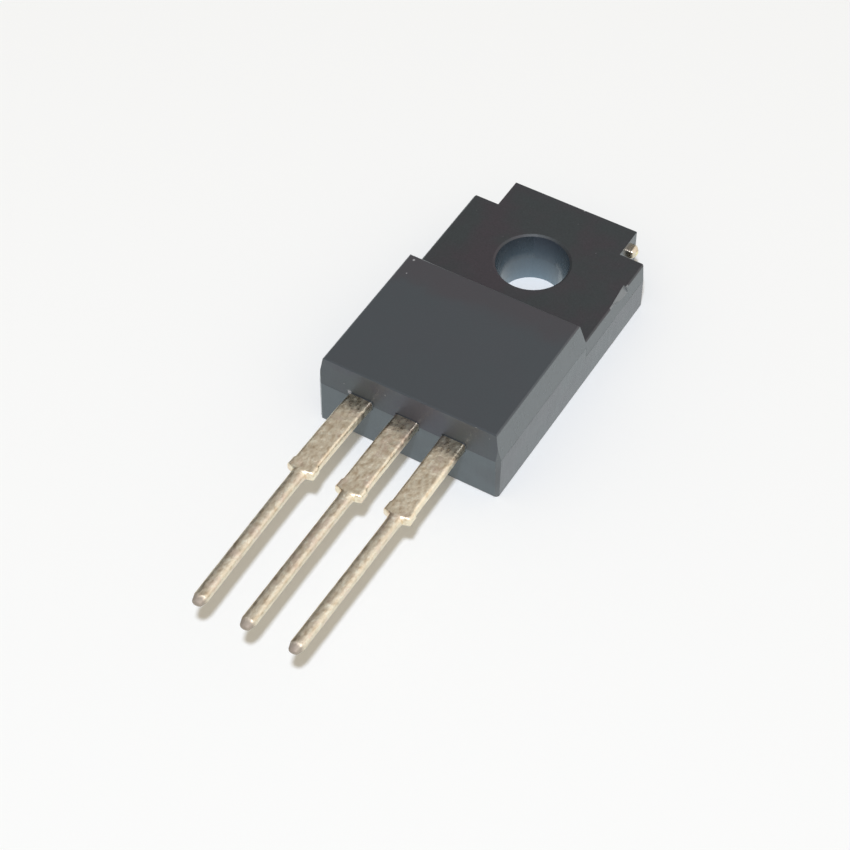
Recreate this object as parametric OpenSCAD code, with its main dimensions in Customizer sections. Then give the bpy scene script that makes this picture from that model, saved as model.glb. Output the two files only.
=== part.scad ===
// Fully moulded power transistor with three straight leads, lying on its mounting face.
// X runs across the leads and +Y towards the tab end.
// Z is height above the mounting face, which lies at z = 0.
// The mounting hole's axis passes through the origin.

/* [Case] */
// Width across the case at the mould's parting plane
case_w = 10.0; // [9.6:0.1:10.6]
// Thickness of the thick block
block_t = 4.3; // [4.1:0.1:4.7]
// Length of the thick block's top face and end slope, from the lead end to the step
block_l = 8.2; // [7.8:0.1:8.6]
// Thickness of the mounting tab
tab_t = 2.75; // [2.65:0.05:2.95]
// Width of the narrow end of the tab
tab_end_w = 7.0; // [6.8:0.1:7.4]
// Depth of the two corner notches, along the tab
notch_l = 2.05; // [1.75:0.05:2.1]
// Height of the parting plane in the thick block
parting_h = 2.6; // [2.5:0.05:2.65]
// Mould draft of the block's sides above the parting plane, in degrees
side_draft = 9; // [3:0.5:9]
// Mould draft of the lead end above the parting plane, in degrees
end_draft = 4.5; // [1:0.5:10]
// Mould draft of the step between block and tab, in degrees
step_draft = 14; // [5:0.5:18]
// Mould draft of the tab's edges above its own parting plane, in degrees
tab_draft = 9; // [3:0.5:9]
// Mould draft of everything below the parting planes, in degrees
lower_draft = 0.5; // [0.25:0.25:2]
// Chamfer that breaks the top edges of block and tab
edge_break = 0.06; // [0.04:0.01:0.2]
// Chamfer that breaks the edges of the mounting face
foot_break = 0.05; // [0.04:0.01:0.2]
// Chamfer on the upright corners of the case
corner_break = 0.2; // [0.1:0.02:0.3]

/* [Mounting hole] */
// Distance from the hole's axis to the lead end of the case
hole_to_lead_end = 12.15; // [11.8:0.05:12.4]
// Distance from the hole's axis to the end of the tab
hole_to_tab_end = 4.75; // [4.7:0.05:5.3]
// Diameter of the straight land at the mounting face
hole_d = 3.2; // [3.1:0.05:3.4]
// Height of the straight land
hole_land = 1.4; // [1.0:0.1:1.8]
// Diameter where the drafted upper part of the hole meets the rim
hole_mouth_d = 3.74; // [3.5:0.02:3.8]
// Outer diameter of the broken rim
hole_rim_d = 3.96; // [3.86:0.02:4.1]
// Depth of the broken rim
hole_rim_h = 0.08; // [0.06:0.02:0.3]

/* [Edge chips] */
// Length of the chip in the tab's upper edge on the +X side
chip_l = 1.6; // [0.4:0.1:2.4]
// How far the chip reaches in from the edge
chip_w = 0.14; // [0.08:0.02:0.4]
// Depth of the chip below the tab's face
chip_h = 0.5; // [0.4:0.05:0.7]
// Place of the chip's square end, beyond the hole's axis
chip_y = 0.9; // [0.8:0.1:1.6]
// Width of the nick in the upper edge of the tab's end
nick_w = 0.4; // [0.2:0.05:0.6]
// Depth of the nick, both inwards and down
nick_h = 0.16; // [0.08:0.02:0.24]
// Place of the nick, to the +X side of the hole's axis
nick_x = 0.5; // [0.2:0.1:1.0]

/* [Leads] */
// Distance between neighbouring leads
lead_pitch = 2.54; // [2.5:0.01:2.6]
// Length of the leads outside the case
lead_l = 14.0; // [13:0.5:15]
// Width of the narrow part
lead_w = 0.7; // [0.6:0.05:0.85]
// Width of the wide part next to the case
lead_wide_w = 1.3; // [1.2:0.05:1.5]
// Length of the wide part
lead_wide_l = 5.2; // [4:0.1:6]
// Thickness of the lead frame's sheet
sheet_t = 0.55; // [0.45:0.05:0.6]
// Rounding of the narrow part's long edges
lead_round = 0.18; // [0.1:0.02:0.2]
// Length of the taper at the tip
tip_taper_l = 0.45; // [0.2:0.05:0.8]
// How far the taper comes in on each side
tip_taper_w = 0.14; // [0.05:0.01:0.2]
// How far the cut dam bar stands out from the wide part
dam_stub_w = 0.07; // [0.03:0.01:0.12]
// Length of the cut dam bar along the lead
dam_stub_l = 0.55; // [0.3:0.05:0.8]

/* [Die pad and tie bars] */
// Height of the pad's underside above the mounting face
pad_h = 0.7; // [0.6:0.05:0.8]
// Width of the die pad
pad_w = 7.4; // [7.0:0.1:7.8]
// Distance from the lead end of the case to the pad
pad_inset = 2.9; // [2.7:0.1:3.1]
// Length of the pad
pad_l = 6.4; // [6.0:0.1:6.5]
// Length of the slope from the centre lead down to the pad
pad_slope_l = 1.3; // [1.1:0.1:1.5]
// Width of each arm that passes the mounting hole
arm_w = 0.8; // [0.6:0.05:0.9]
// Distance from the centre line to the middle of an arm
arm_x = 2.75; // [2.7:0.05:2.85]
// Place where the arms start to rise, beyond the hole's axis
arm_rise_y = 0.6; // [0:0.1:1]
// Length of the arms' rise
arm_rise_l = 1.4; // [1:0.1:1.8]
// Height of the tie bars' underside
tie_h = 1.6; // [1.4:0.05:1.7]
// Width of a tie bar
tie_w = 0.65; // [0.5:0.05:0.8]
// Distance from the end of the tab to a tie bar's near side
tie_inset = 0.42; // [0.3:0.02:0.6]
// How far a cut tie bar stands out of its notch's wall
tie_stub = 0.4; // [0.2:0.05:0.6]

/* [Bonding posts] */
// Distance from the lead end of the case to the posts
post_inset = 0.7; // [0.6:0.1:0.8]
// Width of a post
post_w = 2.0; // [1.8:0.1:2.2]
// Length of a post
post_l = 1.7; // [1.5:0.1:1.9]
// How far the middle of a post lies outside its lead's middle
post_shift = 0.3; // [0.2:0.05:0.4]

/* [Die and wires] */
// Side of the square silicon die
die_w = 3.4; // [3.0:0.1:3.8]
// Thickness of the die
die_t = 0.28; // [0.2:0.02:0.35]
// Thickness of the solder under the die
solder_t = 0.05; // [0.03:0.01:0.08]
// How far the solder reaches past the die on each side
solder_edge = 0.15; // [0.05:0.05:0.25]
// Diameter of the base wire
base_wire_d = 0.25; // [0.2:0.01:0.3]
// Diameter of each emitter wire
emitter_wire_d = 0.38; // [0.3:0.01:0.4]
// How far a wire's arch rises over the straight line between its feet
wire_rise = 0.9; // [0.85:0.05:1.0]
// Length of the pressed foot at each end of a wire
wire_foot_l = 0.55; // [0.4:0.05:0.6]
// Distance between the emitter wires, measured across the leads
emitter_wire_gap = 0.8; // [0.7:0.05:0.9]
// Distance from the die's middle to the base wire's foot, across the leads
base_foot_out = 1.0; // [0.8:0.1:1.1]
// Distance from the die's middle to the middle of the emitter wires' feet, across the leads
emitter_foot_out = 0.75; // [0.6:0.05:0.8]
// Distance from the die's middle to all the feet on it, towards the leads
foot_back = 1.0; // [0.6:0.1:1.1]

/* [Hidden] */
$fn = 48;

// Overrun of a cut past the face it opens
cut = 1;

// Case
lead_end_y = -hole_to_lead_end;
tab_end_y = hole_to_tab_end;
notch_y = tab_end_y - notch_l;
step_top_y = lead_end_y + block_l;
step_base_y = step_top_y + (block_t - tab_t) * tan(step_draft);
tab_parting_h = tie_h + sheet_t / 2;
case_half = case_w / 2;
tab_end_half = tab_end_w / 2;
tab_face_half = lower_half(tab_parting_h) - (tab_t - tab_parting_h) * tan(tab_draft) - edge_break;

// Leads, whose middle lies in the block's parting plane
lead_z = parting_h - sheet_t / 2;
lead_top_z = lead_z + sheet_t;
tip_y = lead_end_y - lead_l;
shoulder_y = lead_end_y - lead_wide_l;

// Pad, arms and tie bars
pad_y = lead_end_y + pad_inset;
pad_end_y = pad_y + pad_l;
pad_top_z = pad_h + sheet_t;
slope_y = pad_y - pad_slope_l;
tie_y = tab_end_y - tie_inset - tie_w;
tie_end_y = tie_y + tie_w;
arm_end_y = arm_rise_y + arm_rise_l;

// Posts, with their middles outside those of their leads
post_y = lead_end_y + post_inset;
post_mid_y = post_y + post_l / 2;
post_x = lead_pitch + post_shift;

// Die in the middle of its pad
die_y = pad_y + pad_l / 2;
solder_w = die_w + 2 * solder_edge;
die_z = pad_top_z + solder_t;
die_top_z = die_z + die_t;

// Feet of the wires: their places on the die, and how the press of the tool spreads a round wire
foot_y = die_y - foot_back;
foot_spread = 1.3;
foot_squash = 0.65;

// Outline of the case seen from above, at its widest
module case_plan() {
    b = corner_break;
    polygon([
        [-case_half + b, lead_end_y], [case_half - b, lead_end_y], [case_half, lead_end_y + b],
        [case_half, notch_y - b], [case_half - b, notch_y], [tab_end_half, notch_y],
        [tab_end_half, tab_end_y - b], [tab_end_half - b, tab_end_y], [-tab_end_half + b, tab_end_y],
        [-tab_end_half, tab_end_y - b], [-tab_end_half, notch_y], [-case_half + b, notch_y],
        [-case_half, notch_y - b], [-case_half, lead_end_y + b]
    ]);
}

// Half width of the lower side wall at a height, on the one plane that block and tab share
function lower_half(z) = case_half - (parting_h - z) * tan(lower_draft);

// Half of a drafted section across the case: wide at its parting plane, with its edges broken
function section_half(parting, top, draft) = [
    [lower_half(0) - foot_break, 0],
    [lower_half(foot_break), foot_break],
    [lower_half(parting), parting],
    [lower_half(parting) - (top - edge_break - parting) * tan(draft), top - edge_break],
    [lower_half(parting) - (top - parting) * tan(draft) - edge_break, top]
];

// Whole drafted section, made from its half and the half's mirror image
module section(parting, top, draft) {
    half = section_half(parting, top, draft);
    polygon(concat(half, [for (i = [len(half) - 1:-1:0]) [-half[i][0], half[i][1]]]));
}

// A section across the case, drawn out along Y
module drawn_along_y(from_y, to_y) {
    translate([0, to_y, 0]) rotate([90, 0, 0]) linear_extrude(height = to_y - from_y) children();
}

// A profile in Y and Z, drawn out across the case
module drawn_along_x(width) {
    translate([-width / 2, 0, 0]) rotate([90, 0, 90]) linear_extrude(height = width) children();
}

// Side view of the thick block, with its drafted lead end and step
module block_profile() {
    e = edge_break;
    polygon([
        [lead_end_y + parting_h * tan(lower_draft) + foot_break, 0],
        [lead_end_y + (parting_h - foot_break) * tan(lower_draft), foot_break],
        [lead_end_y, parting_h],
        [lead_end_y + (block_t - e - parting_h) * tan(end_draft), block_t - e],
        [lead_end_y + (block_t - parting_h) * tan(end_draft) + e, block_t],
        [step_top_y - e, block_t],
        [step_top_y + e * tan(step_draft), block_t - e],
        [step_base_y, tab_t],
        [step_base_y, 0]
    ]);
}

// Side view of the tab, which starts inside the block
module tab_profile() {
    e = edge_break;
    polygon([
        [step_top_y - cut, 0],
        [tab_end_y - tab_parting_h * tan(lower_draft) - foot_break, 0],
        [tab_end_y - (tab_parting_h - foot_break) * tan(lower_draft), foot_break],
        [tab_end_y, tab_parting_h],
        [tab_end_y - (tab_t - e - tab_parting_h) * tan(tab_draft), tab_t - e],
        [tab_end_y - (tab_t - tab_parting_h) * tan(tab_draft) - e, tab_t],
        [step_top_y - cut, tab_t]
    ]);
}

module thick_block() {
    intersection() {
        drawn_along_y(lead_end_y, step_base_y) section(parting_h, block_t, side_draft);
        drawn_along_x(case_w) block_profile();
        linear_extrude(height = block_t) case_plan();
    }
}

module tab() {
    intersection() {
        drawn_along_y(step_top_y - cut, tab_end_y) section(tab_parting_h, tab_t, tab_draft);
        drawn_along_x(case_w) tab_profile();
        linear_extrude(height = tab_t) case_plan();
    }
}

// Straight land at the mounting face, drafted above it, with a broken rim
module mounting_hole() {
    translate([0, 0, -cut]) cylinder(d = hole_d, h = hole_land + cut);
    translate([0, 0, hole_land])
        cylinder(d1 = hole_d, d2 = hole_mouth_d, h = tab_t - hole_rim_h - hole_land);
    translate([0, 0, tab_t - hole_rim_h]) cylinder(d1 = hole_mouth_d, d2 = hole_rim_d, h = hole_rim_h);
    translate([0, 0, tab_t]) cylinder(d = hole_rim_d, h = cut);
}

// Slanting facet broken off the tab's upper edge, square at the far end and running out at the near one
module edge_chip() {
    polyhedron(
        points = [
            [tab_face_half, chip_y - chip_l, tab_t],
            [tab_face_half - chip_w, chip_y, tab_t],
            [case_half, chip_y, tab_t - chip_h],
            [case_half + cut, chip_y, tab_t + cut]
        ],
        faces = [[0, 2, 1], [0, 1, 3], [0, 3, 2], [1, 2, 3]]
    );
}

// Nick in the upper edge of the tab's end, three-cornered seen from above
module end_nick() {
    edge_y = tab_end_y - (tab_t - tab_parting_h) * tan(tab_draft);
    translate([nick_x, edge_y, tab_t - nick_h]) linear_extrude(height = nick_h + cut) polygon([
        [0, -nick_h - edge_break],
        [nick_w / 2, cut],
        [-nick_w / 2, cut]
    ]);
}

// Everything that the moulding compound was poured round
module embedded() {
    collector_frame();
    base_lead();
    emitter_lead();
    die_solder();
    die();
    base_wire();
    emitter_wire_inner();
    emitter_wire_outer();
}

module case() {
    color("#4b4e51") difference() {
        union() {
            thick_block();
            tab();
        }
        mounting_hole();
        edge_chip();
        end_nick();
        embedded();
    }
}

// Section of the narrow part, a rectangle with rounded corners
module narrow_section() {
    r = lead_round;
    x = lead_w / 2 - r;
    z = sheet_t / 2 - r;
    square([lead_w, 2 * z], center = true);
    square([2 * x, sheet_t], center = true);
    for (side = [-1, 1], top = [-1, 1])
        translate([side * x, top * z]) circle(r = r);
}

// Wedges that taper the tip on all four sides
module tip_cuts() {
    for (turn = [0:3]) {
        half = turn % 2 == 0 ? lead_w / 2 : sheet_t / 2;
        translate([0, tip_y, parting_h]) rotate([0, turn * 90, 0])
            translate([0, 0, -cut]) linear_extrude(height = 2 * cut) polygon([
                [half - tip_taper_w, 0],
                [half, tip_taper_l],
                [half + cut, tip_taper_l],
                [half + cut, -cut],
                [half - tip_taper_w, -cut]
            ]);
    }
}

// One lead centred on x = 0, from its tip to a given place inside the case
module lead(inner_y) {
    difference() {
        translate([0, shoulder_y, parting_h]) rotate([90, 0, 0])
            linear_extrude(height = shoulder_y - tip_y) narrow_section();
        tip_cuts();
    }
    translate([-lead_wide_w / 2, shoulder_y, lead_z]) cube([lead_wide_w, inner_y - shoulder_y, sheet_t]);
    translate([-lead_wide_w / 2 - dam_stub_w, shoulder_y, lead_z])
        cube([lead_wide_w + 2 * dam_stub_w, dam_stub_l, sheet_t]);
}

// Strip of sheet that changes height along Y, centred on x = 0
module sloped_strip(width, from_y, from_z, to_y, to_z) {
    drawn_along_x(width) polygon([
        [from_y, from_z], [to_y, to_z], [to_y, to_z + sheet_t], [from_y, from_z + sheet_t]
    ]);
}

// Arm from the pad, past the mounting hole, up to its tie bar
module arm() {
    translate([-arm_w / 2, pad_end_y, pad_h]) cube([arm_w, arm_rise_y - pad_end_y, sheet_t]);
    sloped_strip(arm_w, arm_rise_y, pad_h, arm_end_y, tie_h);
    translate([-arm_w / 2, arm_end_y, tie_h]) cube([arm_w, tie_end_y - arm_end_y, sheet_t]);
}

// Tie bar on the +X side, from its arm out to the cut end in the notch
module tie_bar() {
    translate([arm_x, tie_y, tie_h]) cube([tab_end_half + tie_stub - arm_x, tie_w, sheet_t]);
}

// Centre lead, die pad, arms and tie bars: one piece of sheet
module collector_frame() {
    color("#b8a58c") union() {
        lead(slope_y);
        sloped_strip(lead_wide_w, slope_y, lead_z, pad_y, pad_h);
        translate([-pad_w / 2, pad_y, pad_h]) cube([pad_w, pad_l, sheet_t]);
        for (side = [0, 1]) mirror([side, 0, 0]) {
            translate([arm_x, 0, 0]) arm();
            tie_bar();
        }
    }
}

// Outer lead on the +X side with its bonding post: one piece of sheet
module outer_lead() {
    translate([lead_pitch, 0, 0]) lead(post_y);
    translate([post_x - post_w / 2, post_y, lead_z]) cube([post_w, post_l, sheet_t]);
}

module base_lead() {
    color("#b8a58c") mirror([1, 0, 0]) outer_lead();
}

module emitter_lead() {
    color("#b8a58c") outer_lead();
}

module die_solder() {
    color("#9a9ca0") translate([-solder_w / 2, die_y - solder_w / 2, pad_top_z])
        cube([solder_w, solder_w, solder_t]);
}

module die() {
    color("#6f7480") translate([-die_w / 2, die_y - die_w / 2, die_z]) cube([die_w, die_w, die_t]);
}

// Pressed foot of a wire, standing on z = 0 and lying along X
module wire_foot(d) {
    foot_w = d * foot_spread;
    translate([-wire_foot_l / 2, -foot_w / 2, 0]) cube([wire_foot_l, foot_w, d * foot_squash]);
}

// Wire that arches from a place on the die to a place on a post
module bond_wire(d, from, to) {
    run = norm([to[0] - from[0], to[1] - from[1]]);
    climb = lead_top_z - die_top_z;
    chord = norm([run, climb]);
    radius = (chord * chord / 4 + wire_rise * wire_rise) / (2 * wire_rise);
    spread = asin(chord / (2 * radius));
    heading = atan2(to[1] - from[1], to[0] - from[0]);
    translate([from[0], from[1], die_top_z]) rotate([0, 0, heading]) {
        wire_foot(d);
        translate([run, 0, climb]) wire_foot(d);
        translate([run / 2, 0, climb / 2 + d / 2]) rotate([0, -atan2(climb, run), 0])
            translate([0, 0, wire_rise - radius]) rotate([90, 0, 0]) rotate([0, 0, 90 - spread])
                rotate_extrude(angle = 2 * spread) translate([radius, 0]) circle(d = d);
    }
}

module base_wire() {
    color("#c9cbcd") bond_wire(base_wire_d, [-base_foot_out, foot_y], [-post_x, post_mid_y]);
}

// Emitter wire, shifted across the leads from the middle between the two
module emitter_wire(shift) {
    bond_wire(emitter_wire_d, [emitter_foot_out + shift, foot_y], [post_x + shift, post_mid_y]);
}

module emitter_wire_inner() {
    color("#c9cbcd") emitter_wire(-emitter_wire_gap / 2);
}

module emitter_wire_outer() {
    color("#c9cbcd") emitter_wire(emitter_wire_gap / 2);
}

case();
collector_frame();
base_lead();
emitter_lead();
die_solder();
die();
base_wire();
emitter_wire_inner();
emitter_wire_outer();
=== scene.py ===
"""Looks of a fully moulded power transistor with three solder-dipped leads.

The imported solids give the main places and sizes. The case gets softened edges, the line that the
mould's parting leaves and a little resin round each lead. The leads get the uneven coat of a
solder bath. The die, its solder and its wires stay as they are, sealed in, and are dressed too.
"""
import logging
import math
from dataclasses import dataclass
from enum import Enum
from typing import Callable, Sequence, Union

import bmesh
import bpy
from mathutils import Matrix, Vector
from mathutils.bvhtree import BVHTree


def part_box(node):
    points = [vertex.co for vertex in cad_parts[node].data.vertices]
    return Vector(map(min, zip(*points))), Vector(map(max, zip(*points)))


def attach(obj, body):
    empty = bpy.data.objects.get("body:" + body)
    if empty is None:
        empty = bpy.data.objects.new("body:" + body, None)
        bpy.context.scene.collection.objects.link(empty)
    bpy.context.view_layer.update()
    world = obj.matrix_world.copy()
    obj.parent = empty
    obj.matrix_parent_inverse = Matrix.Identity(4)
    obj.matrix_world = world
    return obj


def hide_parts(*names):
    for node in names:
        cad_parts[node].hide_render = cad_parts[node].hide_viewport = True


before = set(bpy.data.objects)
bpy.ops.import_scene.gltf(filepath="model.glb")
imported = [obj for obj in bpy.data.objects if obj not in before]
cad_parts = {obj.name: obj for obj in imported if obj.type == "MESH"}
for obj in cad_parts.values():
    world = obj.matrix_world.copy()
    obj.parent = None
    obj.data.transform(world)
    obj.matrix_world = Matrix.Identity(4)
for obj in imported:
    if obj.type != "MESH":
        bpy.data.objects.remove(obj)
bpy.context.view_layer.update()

log = logging.getLogger("transistor")
MM = 0.001
BODY = "root"
Colour = tuple[float, float, float]
Place = tuple[float, float, float]
Span = tuple[float, float]
WHITE: Colour = (1.0, 1.0, 1.0)
MERGE_WITHIN = 0.001 * MM
ON_PLANE = 1e-9
SAME_PLANE_DEGREES = 0.4
NO_SHOULDER = 2.0


class Slot(Enum):
    """Material slots of the record."""

    CASE = "case"
    LEAD_FRAME = "lead_frame"
    SOLDER = "solder"
    DIE = "die"
    BOND_WIRE = "bond_wire"


class Axis(Enum):
    """Directions in which a strip of the lead frame can grow, as turns about Z from -Y."""

    TO_TIPS = 0.0
    TO_EMITTER_SIDE = 90.0
    TO_BASE_SIDE = -90.0


@dataclass(frozen=True)
class Layout:
    """Places that several pieces share, in millimetres.

    Attributes:
        exit_y: the end face, where the leads leave the case.
        tip_y: the leads' tips.
        lead_h: height of the leads' middle plane.
        lead_t: the leads' thickness.
        pitch: distance between neighbouring leads.
        tab_end_half: half width of the tab between its notches.
        tab_seam_h: height of the tab's parting, which is also the tie bars' middle plane.
    """

    exit_y: float
    tip_y: float
    lead_h: float
    lead_t: float
    pitch: float = 2.54
    tab_end_half: float = 3.5
    tab_seam_h: float = 1.875

    @classmethod
    def read(cls) -> "Layout":
        """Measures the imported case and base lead.

        Returns:
            Their places, to a thousandth of a millimetre.
        """
        case_low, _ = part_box("case")
        low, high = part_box("base_lead")
        sizes = (case_low.y, low.y, (low.z + high.z) / 2, high.z - low.z)
        return cls(*(round(size / MM, 3) for size in sizes))


def operator(operation: str, swapped: bool = False) -> Callable[..., "Wire"]:
    """Makes a Wire's method for one operator.

    Args:
        operation: the Math node's operation.
        swapped: whether the other value comes first.

    Returns:
        A method that adds the Math node.
    """
    def apply(wire: "Wire", *others: "Source") -> "Wire":
        """Adds the Math node."""
        values = (*others, wire) if swapped else (wire, *others)
        return wire.bench.calculate(operation, *values)
    return apply


class Wire:
    """Output of a node that takes part in arithmetic: each operator adds its Math node."""

    __add__ = __radd__ = operator("ADD")
    __sub__ = operator("SUBTRACT")
    __rsub__ = operator("SUBTRACT", swapped=True)
    __mul__ = __rmul__ = operator("MULTIPLY")
    __truediv__ = operator("DIVIDE")
    __rtruediv__ = operator("DIVIDE", swapped=True)
    __pow__ = operator("POWER")
    __abs__ = operator("ABSOLUTE")
    __gt__ = operator("GREATER_THAN")
    __lt__ = operator("LESS_THAN")

    def __init__(self, bench: "Bench", socket: bpy.types.NodeSocket) -> None:
        """Keeps the socket and the bench that its tree is built on."""
        self.bench = bench
        self.socket = socket

    def __neg__(self) -> "Wire":
        """Opposite."""
        return self * -1.0

    def math(self, operation: str, *others: "Source") -> "Wire":
        """Result of any Math node with this output first."""
        return self.bench.calculate(operation, self, *others)

    def eased(self, start: "Source", end: "Source") -> "Wire":
        """Smooth rise from 0 where this output is start to 1 where it is end."""
        sockets = {"Value": self, "From Min": start, "From Max": end}
        return self.bench.node("ShaderNodeMapRange", {"interpolation_type": "SMOOTHSTEP"}, sockets)["Result"]


Source = Union[Wire, float, int, bool, Sequence[float], bpy.types.Material]


@dataclass(frozen=True)
class Grain:
    """A pattern of noise.

    Attributes:
        scale: lumps per unit of place.
        detail: octaves of finer lumps.
        seed: fourth coordinate, which chooses the pattern.
        edges: levels between which the noise rises from 0 to 1, where it makes patches.
        stretch: what each direction is multiplied by before the noise is read, where lumps are long.
    """

    scale: float
    detail: float
    seed: Source
    edges: Span | None = None
    stretch: Place | None = None


def find_socket(sockets: bpy.types.bpy_prop_collection, key: Union[int, str]) -> bpy.types.NodeSocket:
    """Finds one of a node's inputs or outputs.

    Args:
        sockets: the inputs or outputs.
        key: its number, its identifier, or the name that it shows.

    Returns:
        The socket.
    """
    if isinstance(key, int):
        return sockets[key]
    for socket in sockets:
        if socket.identifier == key:
            return socket
    for socket in sockets:
        if socket.name == key and socket.enabled:
            return socket
    raise KeyError(f"no socket {key}")


class Made:
    """A node just added, whose outputs are taken by name."""

    def __init__(self, bench: "Bench", made: bpy.types.Node) -> None:
        """Keeps the node and its bench."""
        self.bench = bench
        self.made = made

    def __getitem__(self, name: str) -> Wire:
        """Output with that identifier or name."""
        return Wire(self.bench, find_socket(self.made.outputs, name))


def emptied_tree(owner: bpy.types.ID) -> bpy.types.NodeTree:
    """Clears the usual nodes of a material, world or lamp.

    Args:
        owner: the material, world or lamp.

    Returns:
        Its empty tree.
    """
    owner.use_nodes = True
    owner.node_tree.nodes.clear()
    return owner.node_tree


class Bench:
    """A node tree that is being built."""

    def __init__(self, tree: bpy.types.NodeTree) -> None:
        """Keeps the tree."""
        self.tree = tree

    def node(self, kind: str, settings: dict | None = None, sockets: dict | None = None) -> Made:
        """Adds one node.

        Args:
            kind: the node's type.
            settings: its properties, set first. "stops" fills a ramp with (place, colour) pairs.
            sockets: values or wires for its inputs, by identifier, name or number.

        Returns:
            The node, whose outputs are taken by name.
        """
        made = self.tree.nodes.new(kind)
        for name, value in (settings or {}).items():
            if name == "stops":
                self._fill_ramp(made.color_ramp, value)
            else:
                setattr(made, name, value)
        for key, value in (sockets or {}).items():
            self._feed(find_socket(made.inputs, key), value)
        return Made(self, made)

    @staticmethod
    def _fill_ramp(ramp: bpy.types.ColorRamp, stops: Sequence[tuple[float, Colour]]) -> None:
        """Gives a ramp its stops.

        Args:
            ramp: the ramp to fill.
            stops: places from 0 to 1, with their colours.
        """
        while len(ramp.elements) < len(stops):
            ramp.elements.new(1.0)
        for element, (place, colour) in zip(ramp.elements, stops):
            element.position = place
            element.color = (*colour, 1.0)

    def _feed(self, socket: bpy.types.NodeSocket, value: Source) -> None:
        """Links a wire to an input, or sets the input's value.

        Args:
            socket: the input.
            value: a wire or a plain value.
        """
        if isinstance(value, Wire):
            self.tree.links.new(value.socket, socket)
        elif socket.type == "RGBA":
            socket.default_value = (*value, 1.0)
        else:
            socket.default_value = value

    def calculate(self, operation: str, *values: Source) -> Wire:
        """Result of a Math node with these inputs in order."""
        return self.node("ShaderNodeMath", {"operation": operation}, dict(enumerate(values)))["Value"]

    def vector(self, operation: str, sockets: dict) -> Wire:
        """Vector result of a Vector Math node."""
        return self.node("ShaderNodeVectorMath", {"operation": operation}, sockets)["Vector"]

    def split(self, vector: Wire) -> tuple[Wire, Wire, Wire]:
        """X, Y and Z of a vector."""
        parts = self.node("ShaderNodeSeparateXYZ", {}, {"Vector": vector})
        return parts["X"], parts["Y"], parts["Z"]

    def joined(self, x: Source, y: Source, z: Source) -> Wire:
        """Vector from its three values."""
        return self.node("ShaderNodeCombineXYZ", {}, {"X": x, "Y": y, "Z": z})["Vector"]

    def mix(self, factor: Source, first: Source, second: Source, mode: str = "MIX") -> Wire:
        """First colour where the factor is 0, blended into the second where it is 1."""
        sockets = {"Factor_Float": factor, "A_Color": first, "B_Color": second}
        return self.node("ShaderNodeMix", {"data_type": "RGBA", "blend_type": mode}, sockets)["Result_Color"]

    def noise(self, place: Wire, grain: Grain) -> Wire:
        """Noise from 0 to 1.

        Args:
            place: where to read it.
            grain: its pattern.

        Returns:
            The noise, or its patches where the pattern has edges.
        """
        if grain.stretch:
            place = self.vector("MULTIPLY", {0: place, 1: grain.stretch})
        sockets = {"Vector": place, "W": grain.seed, "Scale": grain.scale, "Detail": grain.detail}
        level = self.node("ShaderNodeTexNoise", {"noise_dimensions": "4D"}, sockets)["Fac"]
        return level.eased(*grain.edges) if grain.edges else level


class Dress(Bench):
    """A material's tree, read in millimetres of the object's own space."""

    def __init__(self, name: str) -> None:
        """Starts an empty material of that name."""
        self.material = bpy.data.materials.new(name)
        super().__init__(emptied_tree(self.material))

    def place(self) -> Wire:
        """Place on the object, in millimetres."""
        here = self.node("ShaderNodeTexCoord")["Object"]
        return self.vector("SCALE", {0: here, "Scale": 1 / MM})

    def distance(self, place: Wire, centre: Place) -> Wire:
        """Distance from a named place, in millimetres."""
        return self.node("ShaderNodeVectorMath", {"operation": "DISTANCE"}, {0: place, 1: centre})["Value"]

    def bump(self, height: Wire, depth: float, under: Wire | None = None) -> Wire:
        """Normal tilted by a height.

        Args:
            height: height from 0 to 1.
            depth: what a height of 1 means, in metres.
            under: normal of the relief below this one.

        Returns:
            The tilted normal.
        """
        sockets = {"Height": height, "Distance": depth, "Strength": 1.0}
        if under is not None:
            sockets["Normal"] = under
        return self.node("ShaderNodeBump", {}, sockets)["Normal"]

    def metal(self, base: Wire, rough: Wire, normal: Wire) -> bpy.types.Material:
        """Ends the tree in a metal surface."""
        return self.finish({"Base Color": base, "Metallic": 1.0, "Roughness": rough, "Normal": normal})

    def finish(self, sockets: dict) -> bpy.types.Material:
        """Ends the tree in a Principled surface.

        Args:
            sockets: values or wires for the surface's inputs.

        Returns:
            The material.
        """
        surface = self.node("ShaderNodeBsdfPrincipled", {}, sockets)["BSDF"]
        self.node("ShaderNodeOutputMaterial", {}, {"Surface": surface})
        return self.material


@dataclass(frozen=True)
class Spot:
    """A small blemish at a named place, in millimetres."""

    centre: Place
    radius: float
    border: Grain = Grain(9.0, 2.0, 4.0)
    raggedness: float = 1.6
    core: float = 0.4

    def mask(self, dress: Dress, place: Wire) -> Wire:
        """One in the spot's middle, fading to 0 over an uneven border.

        Args:
            dress: material that the spot is in.
            place: place on the object, in millimetres.

        Returns:
            The spot's share.
        """
        away = dress.distance(place, self.centre)
        ragged = away + (dress.noise(place, self.border) - 0.5) * self.radius * self.raggedness
        return 1.0 - ragged.eased(self.radius * self.core, self.radius)


@dataclass(frozen=True)
class CaseSurface:
    """Where a point of the case lies, and masks that are 1 on its faces of one kind."""

    dress: Dress
    place: Wire
    along: Wire
    height: Wire
    wall: Wire
    end: Wire
    side: Wire
    leaning: Wire
    in_hole: Wire
    hole_rim: Wire
    broken: Wire


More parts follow.
